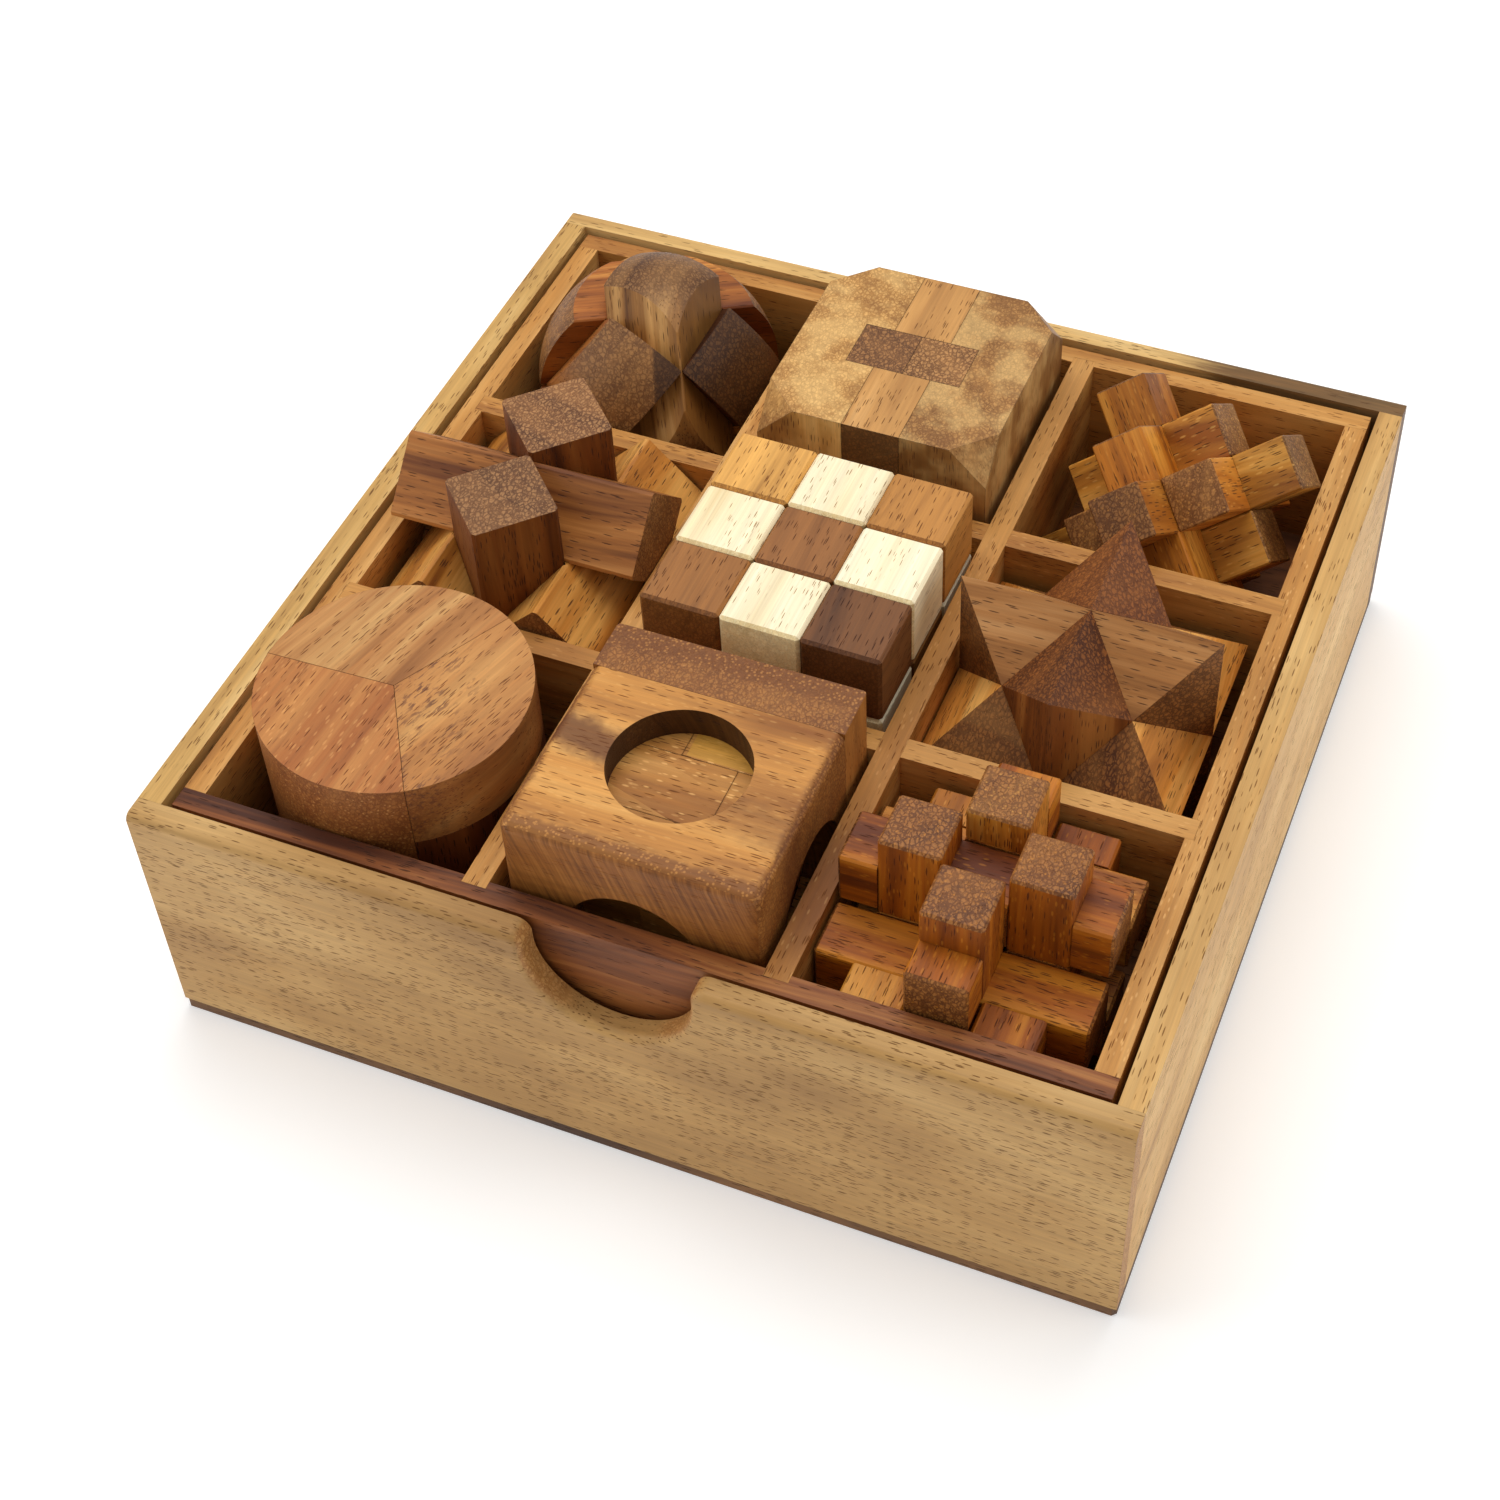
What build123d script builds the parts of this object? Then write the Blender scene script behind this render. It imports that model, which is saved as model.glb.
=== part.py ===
from build123d import *
import os
from math import atan, cos, degrees, radians, sin, sqrt

# Boxed set of nine wooden burrs and block puzzles, millimetres, +Z up.
# Origin: centre of the underside of the box. X runs along the front edge, Y to the back.

# ---- outer box ----
BOX_W = 240.0
BOX_H = 73.0
WALL = 6.0
BASE_T = 3.0
TONGUE_L = 3.0
TONGUE_T = 2.0
RIM_R = 2.0
SCOOP_R = 20.0
SCOOP_Z = 68.0
SHOULDER_R = 7.0

# ---- insert that parts the box into nine cells ----
RAIL_OUT = 112.4
RAIL_T = 5.6
RAIL_TOP = 71.8
FLOOR_T = 4.0
FLOOR_TOP = 30.0
DADO = 2.0
DIV_T = 6.0
DIV_LEFT = -36.8
DIV_RIGHT = 35.8
DIV_ROW = 37.2
PITCH = 72.7

# ---- clearances ----
FIT = 0.05
EASE = 0.6

# ---- puzzles ----
ALT_L = 63.0
ALT_W = 14.6
ALT_P = 14.9
ALT_DX = -1.6
ALT_DY = -1.6

BALL_R = 32.9
BALL_DX = -0.6
BALL_DY = 0.8
BALL_S = 15.8
BALL_TURN = (-37.0, -18.0, 31.5)
BALL_EASE = 0.3

DIAG_L = 66.4
DIAG_S = 15.5
DIAG_DX = -0.6
DIAG_EASE = 0.6

STAR_S = 15.9
STAR_DX = -1.8

CUBE_U = 15.4
CUBE_CORNER = 10.0

PAG_W = 14.4
PAG_SPIN = 74.5
PAG_DX = 0.3
PAG_DY = 0.1
PAG_RISE = 0.9

SNAKE_P = 20.5
SNAKE_BORE = 2.2
SNAKE_CORD = 1.1
SNAKE_PATH = "XXYYxxZZXzXyyxxZYzzXZZyXYY"
SNAKE_YAW = -0.9
SNAKE_DX = 0.5

CYL_R = 32.6
CYL_H = 57.5
CYL_DX = -0.4
CYL_DY = -0.8
CYL_CAP = 18.0
CYL_KEY_W = 5.0
CYL_KEY_D = 2.5
CYL_KEY_STOP = 6.0
CYL_PEG_R = 3.5
CYL_PEG_H = 7.0

HOLE_X = 62.0
HOLE_Y = 64.5
HOLE_Z = 61.5
HOLE_R = 16.6
HOLE_SHIFT = -3.0
HOLE_WALL = 8.0
HOLE_COVER = 14.0


def cell(column, row, height):
    """Centre of a puzzle standing on the floor of one cell."""
    return Pos(column * PITCH, row * PITCH, FLOOR_TOP + height)


def save(name, solids, where=Pos(0, 0, 0)):
    """Write one named piece, or one group of separate alike pieces."""
    with BuildPart() as node:
        for solid in solids:
            add(where * solid)
    node.part.label = name
    export_step(node.part, f"parts/{name}.step")


def block(size, centre):
    with BuildPart() as body:
        with Locations(centre):
            Box(*size)
    return body.part


def turned(axis):
    """Turns a piece drawn along X so that it lies along the named axis."""
    if axis == "x":
        return Rot(0, 0, 0)
    if axis == "y":
        return Rot(90, 90, 0)
    return Rot(-90, 0, -90)


# ======================= outer box =======================
def base_panel():
    with BuildPart() as panel:
        with BuildSketch(Plane.XY):
            Rectangle(BOX_W, BOX_W)
        extrude(amount=BASE_T)
        chamfer(panel.edges().filter_by(Axis.Z), 1.0)
    return panel.part


def end_wall(scooped):
    """Front wall, drawn at the front; the back wall is the same turned round."""
    half = BOX_W / 2
    with BuildPart() as wall:
        with BuildSketch(Plane.XZ.offset(half)):
            with Locations((0, (BASE_T + BOX_H) / 2)):
                Rectangle(BOX_W, BOX_H - BASE_T)
            if scooped:
                with Locations((0, SCOOP_Z)):
                    Circle(SCOOP_R, mode=Mode.SUBTRACT)
                with Locations((0, SCOOP_Z + SCOOP_R)):
                    Rectangle(2 * SCOOP_R, 2 * SCOOP_R, mode=Mode.SUBTRACT)
        extrude(amount=-WALL)
        if scooped:
            lips = wall.edges().filter_by(Axis.Y).group_by(Axis.Z)[-1]
            fillet([e for e in lips if abs(e.center().X) < SCOOP_R + 1], SHOULDER_R / 2)
        ridge = wall.edges().filter_by(Axis.X).group_by(Axis.Z)[-1].sort_by(Axis.Y)
        outer = [e for e in ridge if e.center().Y < -half + 0.1]
        fillet(outer, RIM_R)
        for side in (-1, 1):
            with Locations((side * (half - WALL / 2), -half + WALL, BOX_H / 2 - 2)):
                Box(TONGUE_T + 2 * FIT, 2 * TONGUE_L + 2 * FIT, BOX_H - 10 + 2 * FIT, mode=Mode.SUBTRACT)
    return wall.part


def side_wall():
    """Right wall, drawn on the right; the left wall is the same turned round."""
    half = BOX_W / 2
    with BuildPart() as wall:
        with Locations((half - WALL / 2, 0, (BASE_T + BOX_H) / 2)):
            Box(WALL, BOX_W - 2 * WALL, BOX_H - BASE_T)
        with Locations((half - WALL / 2, 0, BOX_H / 2 - 2)):
            Box(TONGUE_T, BOX_W - 2 * WALL + 2 * TONGUE_L, BOX_H - 10)
    return wall.part


def make_box():
    save("base_panel", [base_panel()])
    save("front_wall", [end_wall(True)])
    save("back_wall", [end_wall(False)], Rot(0, 0, 180))
    save("right_wall", [side_wall()])
    save("left_wall", [side_wall()], Rot(0, 0, 180))


# ======================= insert =======================
def rail(length, outward, slots):
    """One rail of the insert frame, drawn along X with its outer face at -Y."""
    inner = -outward + RAIL_T
    with BuildPart() as body:
        with Locations((0, -outward + RAIL_T / 2, (BASE_T + RAIL_TOP) / 2)):
            Box(length, RAIL_T, RAIL_TOP - BASE_T)
        with Locations((0, inner, FLOOR_TOP - FLOOR_T / 2)):
            Box(2 * (RAIL_OUT - RAIL_T + DADO + FIT), 2 * DADO + 2 * FIT, FLOOR_T, mode=Mode.SUBTRACT)
        for slot in slots:
            with Locations((slot, inner, (FLOOR_TOP + RAIL_TOP) / 2 + 1)):
                Box(DIV_T, 2 * DADO + 2 * FIT, RAIL_TOP - FLOOR_TOP + 2, mode=Mode.SUBTRACT)
    return body.part


def insert_floor():
    reach = 2 * (RAIL_OUT - RAIL_T + DADO)
    with BuildPart() as panel:
        with BuildSketch(Plane.XY.offset(FLOOR_TOP - FLOOR_T)):
            Rectangle(reach, reach)
        extrude(amount=FLOOR_T)
    return panel.part


def divider(notch_low, laps):
    """Divider drawn along Y, half-lapped with the two that cross it."""
    reach = 2 * (RAIL_OUT - RAIL_T + DADO)
    tall = RAIL_TOP - FLOOR_TOP
    mid = FLOOR_TOP + tall / 2
    lap = mid - tall / 4 if notch_low else mid + tall / 4
    with BuildPart() as body:
        with Locations((0, 0, mid)):
            Box(DIV_T, reach, tall)
        for place in laps:
            with Locations((0, place, lap)):
                Box(DIV_T, DIV_T, tall / 2, mode=Mode.SUBTRACT)
    return body.part


def make_insert():
    long_rail = 2 * RAIL_OUT
    short_rail = 2 * (RAIL_OUT - RAIL_T)
    columns = (DIV_LEFT, DIV_RIGHT)
    turned_columns = (-DIV_LEFT, -DIV_RIGHT)
    rows = (-DIV_ROW, DIV_ROW)
    save("insert_front_rail", [rail(long_rail, RAIL_OUT, columns)])
    save("insert_back_rail", [rail(long_rail, RAIL_OUT, turned_columns)], Rot(0, 0, 180))
    save("insert_right_rail", [rail(short_rail, RAIL_OUT, rows)], Rot(0, 0, 90))
    save("insert_left_rail", [rail(short_rail, RAIL_OUT, rows)], Rot(0, 0, -90))
    save("insert_floor", [insert_floor()])
    save("divider_left", [divider(True, rows)], Pos(DIV_LEFT, 0, 0))
    save("divider_right", [divider(True, rows)], Pos(DIV_RIGHT, 0, 0))
    save("divider_front", [divider(False, turned_columns)], Pos(0, -DIV_ROW, 0) * Rot(0, 0, 90))
    save("divider_back", [divider(False, turned_columns)], Pos(0, DIV_ROW, 0) * Rot(0, 0, 90))


# ======================= twelve-stick burr =======================
def square_bar(length, width, ease):
    """Square bar along X with its long edges eased."""
    with BuildPart() as bar:
        Box(length, width, width)
        chamfer(bar.edges(), ease)
    return bar.part


def notch_centre(where, face):
    """Middle of the half of a crossing that is cut away on the given side."""
    return tuple(w + f * ALT_W / 2 for w, f in zip(where, face))


def alt_stick(axis, offset, outer_face, centre_face):
    """Stick with two notches at the crossings on one face and one on the next face."""
    along = {"x": (1, 0, 0), "y": (0, 1, 0), "z": (0, 0, 1)}[axis]
    cut = ALT_W + 2 * FIT
    with BuildPart() as stick:
        add(Pos(*offset) * turned(axis) * square_bar(ALT_L, ALT_W, EASE))
        for step, face in ((-1, outer_face), (0, centre_face), (1, outer_face)):
            where = tuple(o + step * ALT_P * a for o, a in zip(offset, along))
            size = []
            for a, f in zip(along, face):
                grow = cut if a else ALT_W + 2 * FIT
                size.append(ALT_W + 2 * FIT if f else grow + (0 if a else 1))
            with Locations(notch_centre(where, face)):
                Box(*size, mode=Mode.SUBTRACT)
    return stick.part


def make_twelve_stick_burr():
    here = cell(1, -1, ALT_L / 2) * Pos(ALT_DX, ALT_DY, 0)
    step = ALT_P
    for side, word in ((-1, "low"), (1, "high")):
        save(f"burr_x_{word}", [alt_stick("x", (0, 0, side * step), (0, -1, 0), (0, 0, -1))], here)
        save(f"burr_y_{word}", [alt_stick("y", (0, 0, side * step), (1, 0, 0), (0, 0, 1))], here)
    for side, word in ((-1, "front"), (1, "back")):
        save(f"burr_x_{word}", [alt_stick("x", (0, side * step, 0), (0, 0, -1), (0, 1, 0))], here)
        save(f"burr_z_{word}", [alt_stick("z", (0, side * step, 0), (-1, 0, 0), (0, -1, 0))], here)
    for side, word in ((-1, "left"), (1, "right")):
        save(f"burr_y_{word}", [alt_stick("y", (side * step, 0, 0), (0, 0, 1), (-1, 0, 0))], here)
        save(f"burr_z_{word}", [alt_stick("z", (side * step, 0, 0), (0, 1, 0), (1, 0, 0))], here)


# ======================= diagonal burrs: ball, blunt and star =======================
def diamond_bar(length, half, side, ease):
    """Bar along X with a diamond section, lifted or lowered by its half width."""
    tip = half - FIT - ease
    corners = [(ease, -tip), (tip, -ease), (tip, ease), (ease, tip)]
    corners += [(-x, -y) for x, y in corners]
    if ease == 0:
        corners = [(0, -tip), (tip, 0), (0, tip), (-tip, 0)]
    with BuildPart() as bar:
        with BuildSketch(Plane.YZ.offset(-length / 2)):
            with Locations((0, side * half)):
                Polygon(*corners, align=None)
        extrude(amount=length)
    return bar.part


def groove_bar(length, half, side):
    """The room a crossing bar needs."""
    with BuildPart() as bar:
        with BuildSketch(Plane.YZ.offset(-length / 2)):
            with Locations((0, side * half)):
                Polygon((0, -half), (half, 0), (0, half), (-half, 0), align=None)
        extrude(amount=length)
    return bar.part


def diagonal_stick(length, half, side, end, ease):
    """Upper or lower stick along X, with two V grooves for the sticks along Y."""
    with BuildPart() as stick:
        add(diamond_bar(length, half, side, ease))
        for across in (-1, 1):
            add(turned("y") * groove_bar(2 * length, half, across), mode=Mode.SUBTRACT)
        if end == "ball":
            Sphere(BALL_R, mode=Mode.INTERSECT)
        if end == "star":
            with BuildSketch(Plane.XY.offset(-3 * half)):
                Polygon((2 * half, 0), (0, 2 * half), (-2 * half, 0), (0, -2 * half), align=None)
            extrude(amount=6 * half, mode=Mode.INTERSECT)
    return stick.part


def make_diagonal_burr(name, length, half, end, ease, here):
    """Three pairs of sticks, each pair crossing the next."""
    for axis in "xyz":
        pair = [turned(axis) * diagonal_stick(length, half, side, end, ease) for side in (-1, 1)]
        save(f"{name}_{axis}_sticks", pair, here)


# ======================= cube with cut corners =======================
def cube_frame():
    """Room left inside the eight cut corners."""
    edge = 4 * CUBE_U
    with BuildPart() as body:
        Box(edge, edge, edge)
        reach = (edge * 1.5 - CUBE_CORNER) / sqrt(3)
        for sx in (-1, 1):
            for sy in (-1, 1):
                for sz in (-1, 1):
                    way = Vector(sx, sy, sz).normalized()
                    split(bisect_by=Plane(origin=way * reach, z_dir=way), keep=Keep.BOTTOM)
    return body.part


def cube_key(side):
    """Half of the central square post that fills the middle of the cube."""
    u = CUBE_U
    return block((u - FIT, u - 2 * FIT, 4 * u), (side * u / 2, 0, 0))


def cube_middle(side):
    """Square column in front of or behind the post, with a rib on both flanks."""
    u = CUBE_U
    with BuildPart() as body:
        with Locations((0, side * 1.25 * u, 0)):
            Box(u - 2 * FIT, 1.5 * u, 4 * u)
            Box(2 * u - 2 * FIT, u / 2 - 2 * FIT, u - 2 * FIT)
    return body.part


def cube_flank(side):
    """Side block, grooved for the post and for the ribs of the middle columns."""
    u = CUBE_U
    with BuildPart() as body:
        with Locations((side * 1.25 * u, 0, 0)):
            Box(1.5 * u, 4 * u, 4 * u)
        Box(2 * u, u, 4 * u, mode=Mode.SUBTRACT)
        for way in (-1, 1):
            with Locations((0, way * 1.25 * u, 0)):
                Box(2 * u, u / 2, u, mode=Mode.SUBTRACT)
    return body.part


def cut_to(frame, solid):
    with BuildPart() as body:
        add(solid)
        add(frame, mode=Mode.INTERSECT)
    return body.part


def make_cube():
    frame = cube_frame()
    here = cell(0, 1, 2 * CUBE_U)
    save("cube_left", [cut_to(frame, cube_flank(-1))], here)
    save("cube_right", [cut_to(frame, cube_flank(1))], here)
    save("cube_front", [cut_to(frame, cube_middle(-1))], here)
    save("cube_back", [cut_to(frame, cube_middle(1))], here)
    save("cube_key_left", [cube_key(-1)], here)
    save("cube_key_right", [cube_key(1)], here)


# ======================= stepped nine-stick burr =======================
def stepped_stick(place):
    """Stick along X in its plate: the middle one is longer and gives up a quarter."""
    w = PAG_W
    length = (5 if place == 0 else 3) * w
    with BuildPart() as stick:
        with Locations((0, place * w, 0)):
            Box(length, w - 2 * FIT, w - 2 * FIT)
            chamfer(stick.edges(), 0.4)
        if place == 0:
            with Locations((0, w / 2, 0)):
                Box(3 * w + 2 * FIT, w, w + 1, mode=Mode.SUBTRACT)
            with Locations((0, 0, -w / 2)):
                Box(w + 2 * FIT, w + 1, w, mode=Mode.SUBTRACT)
        else:
            with Locations((0, place * w, -w / 2)):
                Box(w + 2 * FIT, w + 1, w, mode=Mode.SUBTRACT)
    return stick.part


def make_stepped_burr():
    lift = 3.5 / sqrt(3) * PAG_W
    tilt = degrees(atan(sqrt(2)))
    on_corner = Rot(0, -tilt, 0) * Rot(0, 0, -45)
    here = cell(1, 1, lift) * Pos(PAG_DX, PAG_DY, PAG_RISE) * Rot(0, 0, PAG_SPIN) * on_corner
    for axis in "xyz":
        sticks = [turned(axis) * stepped_stick(place) for place in (-1, 0, 1)]
        save(f"stepped_{axis}_sticks", sticks, here)


# ======================= snake cube =======================
def snake_cells():
    """Grid places of the cubelets in the order the cord runs through them."""
    steps = {"X": (1, 0, 0), "Y": (0, 1, 0), "Z": (0, 0, 1)}
    places = [(-1, -1, -1)]
    for letter in SNAKE_PATH:
        sign = 1 if letter.isupper() else -1
        move = steps[letter.upper()]
        places.append(tuple(p + sign * m for p, m in zip(places[-1], move)))
    return places


def snake_run(radius, reach):
    """Rounded cord path through all the cubelet centres."""
    places = snake_cells()
    with BuildPart() as run:
        for here, there in zip(places, places[1:]):
            middle = tuple((a + b) / 2 * SNAKE_P for a, b in zip(here, there))
            way = tuple(b - a for a, b in zip(here, there))
            turn = {0: (0, 90, 0), 1: (90, 0, 0), 2: (0, 0, 0)}[[abs(w) for w in way].index(1)]
            with Locations(Location(middle, turn)):
                Cylinder(radius, SNAKE_P)
        for place in places[1:-1]:
            with Locations(tuple(p * SNAKE_P for p in place)):
                Sphere(radius)
        for place, sign in ((places[0], 1), (places[-1], -1)):
            with Locations(tuple(p * SNAKE_P for p in place)):
                Sphere(radius + reach)
    return run.part


def cubelet(place, bore):
    with BuildPart() as body:
        with Locations(tuple(p * SNAKE_P for p in place)):
            Box(SNAKE_P - 2 * FIT, SNAKE_P - 2 * FIT, SNAKE_P - 2 * FIT)
        chamfer(body.edges(), 0.8)
        add(bore, mode=Mode.SUBTRACT)
    return body.part


def make_snake_cube():
    here = cell(0, 0, 1.5 * SNAKE_P) * Pos(SNAKE_DX, 0, 0) * Rot(0, 0, SNAKE_YAW)
    bore = snake_run(SNAKE_BORE, 0.6)
    light = []
    dark = []
    for place in snake_cells():
        group = light if sum(place) % 2 == 0 else dark
        group.append(cubelet(place, bore))
    save("snake_light_cubelets", light, here)
    save("snake_dark_cubelets", dark, here)
    save("snake_cord", [snake_run(SNAKE_CORD, 0.6)], here)


# ======================= cylinder =======================
def sector(start, stop, low, high):
    """Piece of the cylinder between two angles and two heights."""
    reach = 3 * CYL_R
    corners = [(0, 0)]
    for part_way in range(5):
        angle = radians(start + (stop - start) * part_way / 4)
        corners.append((reach * cos(angle), reach * sin(angle)))
    with BuildPart() as body:
        with BuildSketch(Plane.XY.offset(low)):
            Circle(CYL_R)
            Polygon(*corners, align=None, mode=Mode.INTERSECT)
            offset(amount=-FIT)
        extrude(amount=high - low)
    return body.part


def keyed(solid, angle, sign, low, high):
    """Adds (sign 1) or cuts (sign -1) an upright key on a radial face."""
    grow = 0 if sign > 0 else FIT
    mode = Mode.ADD if sign > 0 else Mode.SUBTRACT
    size = (CYL_KEY_W + 2 * grow, 2 * CYL_KEY_D + 2 * grow, high - low)
    where = Rot(0, 0, angle) * Pos(CYL_R / 2, 0, (low + high) / 2)
    with BuildPart() as body:
        add(solid)
        add(where * block(size, (0, 0, 0)), mode=mode)
    return body.part


def pegged(solid, sign, low):
    """Adds or cuts the round peg that keeps the cap on the base."""
    grow = 0 if sign > 0 else FIT
    mode = Mode.ADD if sign > 0 else Mode.SUBTRACT
    where = Rot(0, 0, 19) * Pos(CYL_R / 2, 0, low + CYL_PEG_H / 2)
    with BuildPart() as body:
        add(solid)
        with Locations(where):
            Cylinder(CYL_PEG_R + grow, CYL_PEG_H + 2 * grow, mode=mode)
    return body.part


def make_cylinder():
    here = cell(-1, -1, 0) * Pos(CYL_DX, CYL_DY, 0)
    top = CYL_H
    under = CYL_H - CYL_CAP
    reach = top - CYL_KEY_STOP
    stop = under - CYL_KEY_STOP
    wedge = keyed(sector(-178, -58, 0, top), -178, -1, -1, reach + FIT)
    wedge = keyed(wedge, -58, -1, -1, stop + FIT)
    back = keyed(sector(62, 182, 0, top), 182, 1, 0, reach)
    back = keyed(back, 62, 1, 0, stop)
    cap = pegged(sector(-58, 62, under + FIT, top), -1, under - 1)
    base_a = keyed(sector(-58, -24, 0, under), -58, 1, 0, stop)
    base_b = keyed(sector(-24, 62, 0, under), 62, -1, -1, stop + FIT)
    base_b = pegged(base_b, 1, under - 1.5)
    save("cylinder_wedge", [wedge], here)
    save("cylinder_back", [back], here)
    save("cylinder_cap", [cap], here)
    save("cylinder_base", [base_a, base_b], here)


# ======================= box with round windows =======================
def window_bores():
    """Round windows through all six faces."""
    with BuildPart() as bores:
        Cylinder(HOLE_R, 2 * HOLE_Y, rotation=(90, 0, 0))
        with Locations((0, HOLE_SHIFT, 0)):
            Cylinder(HOLE_R, 2 * HOLE_Y)
            Cylinder(HOLE_R, 2 * HOLE_Y, rotation=(0, 90, 0))
    return bores.part


def window_body(bores):
    depth = HOLE_Y - HOLE_COVER
    with BuildPart() as body:
        with Locations((0, -HOLE_COVER / 2, 0)):
            Box(HOLE_X, depth, HOLE_Z)
        fillet(body.edges().filter_by(Axis.Z).group_by(Axis.Y)[0], 3.0)
        fillet(body.edges().group_by(Axis.Z)[-1].filter_by(Axis.X).group_by(Axis.Y)[0], 2.5)
        with Locations((0, -HOLE_COVER / 2 + HOLE_WALL, 0)):
            Box(HOLE_X - 2 * HOLE_WALL, depth, HOLE_Z - 2 * HOLE_WALL, mode=Mode.SUBTRACT)
        add(bores, mode=Mode.SUBTRACT)
    return body.part


def window_cover(bores):
    with BuildPart() as body:
        with Locations((0, (HOLE_Y - HOLE_COVER) / 2 + FIT / 2, 0)):
            Box(HOLE_X, HOLE_COVER - FIT, HOLE_Z)
        fillet(body.edges().filter_by(Axis.Z).group_by(Axis.Y)[-1], 1.0)
        with Locations((0, HOLE_Y / 2 - HOLE_COVER - HOLE_WALL / 4 + FIT, 0)):
            Box(HOLE_X - 2 * HOLE_WALL - 0.2, HOLE_WALL / 2 + 2 * FIT, HOLE_Z - 2 * HOLE_WALL - 0.2)
        add(bores, mode=Mode.SUBTRACT)
    return body.part


def window_blocks():
    """Blocks that fill the hollow, parted as they show through the top window."""
    wide = HOLE_X - 2 * HOLE_WALL - 2 * FIT
    tall = HOLE_Z - 2 * HOLE_WALL - 2 * FIT
    front = -HOLE_Y / 2 + HOLE_WALL + FIT
    back = HOLE_Y / 2 - HOLE_COVER - HOLE_WALL / 2 - FIT
    first = 12.0
    last = 8.0
    gap = 2 * FIT
    right = 13.0
    middle = back - front - first - last
    rows = [
        (-wide / 2, wide / 2, front, front + first),
        (-wide / 2, wide / 2 - right, front + first, front + first + middle),
        (wide / 2 - right, wide / 2, front + first, front + first + middle),
        (-wide / 2, -4.0, back - last, back),
        (-4.0, wide / 2, back - last, back),
    ]
    blocks = []
    for x0, x1, y0, y1 in rows:
        size = (x1 - x0 - gap, y1 - y0 - gap, tall)
        blocks.append(block(size, ((x0 + x1) / 2, (y0 + y1) / 2, 0)))
    return blocks


def make_window_box():
    here = cell(0, -1, HOLE_Z / 2)
    bores = window_bores()
    save("window_body", [window_body(bores)], here)
    save("window_cover", [window_cover(bores)], here)
    save("window_blocks", window_blocks(), here)


os.makedirs("parts", exist_ok=True)
make_box()
make_insert()
make_twelve_stick_burr()
ball_place = cell(-1, 1, BALL_R) * Pos(BALL_DX, BALL_DY, 0) * Rot(*BALL_TURN)
blunt_place = cell(-1, 0, DIAG_L / 2) * Pos(DIAG_DX, 0, 0)
star_place = cell(1, 0, 2 * STAR_S) * Pos(STAR_DX, 0, 0)
make_diagonal_burr("ball", 4 * BALL_R, BALL_S, "ball", BALL_EASE, ball_place)
make_diagonal_burr("blunt", DIAG_L, DIAG_S, "flat", DIAG_EASE, blunt_place)
make_diagonal_burr("star", 6 * STAR_S, STAR_S, "star", 0, star_place)
make_cube()
make_stepped_burr()
make_snake_cube()
make_cylinder()
make_window_box()
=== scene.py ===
from math import atan, cos, radians, sin, sqrt

import bpy
from mathutils import Matrix, Vector


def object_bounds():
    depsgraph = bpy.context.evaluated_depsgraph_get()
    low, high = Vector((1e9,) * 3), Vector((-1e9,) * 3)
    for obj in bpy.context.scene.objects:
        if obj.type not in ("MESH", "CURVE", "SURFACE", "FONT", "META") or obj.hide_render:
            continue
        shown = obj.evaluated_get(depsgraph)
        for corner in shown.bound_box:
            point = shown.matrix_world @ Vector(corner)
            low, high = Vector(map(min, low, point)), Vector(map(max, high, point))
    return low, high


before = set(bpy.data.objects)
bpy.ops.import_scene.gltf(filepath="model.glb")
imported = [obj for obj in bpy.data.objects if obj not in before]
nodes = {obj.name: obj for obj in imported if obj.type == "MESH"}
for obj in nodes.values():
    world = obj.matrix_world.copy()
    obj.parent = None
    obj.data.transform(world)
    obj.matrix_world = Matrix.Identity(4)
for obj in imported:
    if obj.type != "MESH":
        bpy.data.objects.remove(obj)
cad_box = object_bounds()
scene = bpy.context.scene

X, Y, Z = Vector((1, 0, 0)), Vector((0, 1, 0)), Vector((0, 0, 1))


# ---------------------------------------------------------------- colours
DEPTH = (1.13, 1.18, 1.32)


def lin(rgb, gain=1.0):
    """A colour given as 0-255 display values, as a linear colour deepened as oiled wood is."""
    out = []
    for v, depth in zip(rgb, DEPTH):
        c = v / 255
        c = c / 12.92 if c <= 0.04045 else ((c + 0.055) / 1.055) ** 2.4
        out.append(min(c ** depth * gain, 0.95))
    return (*out, 1.0)


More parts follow.
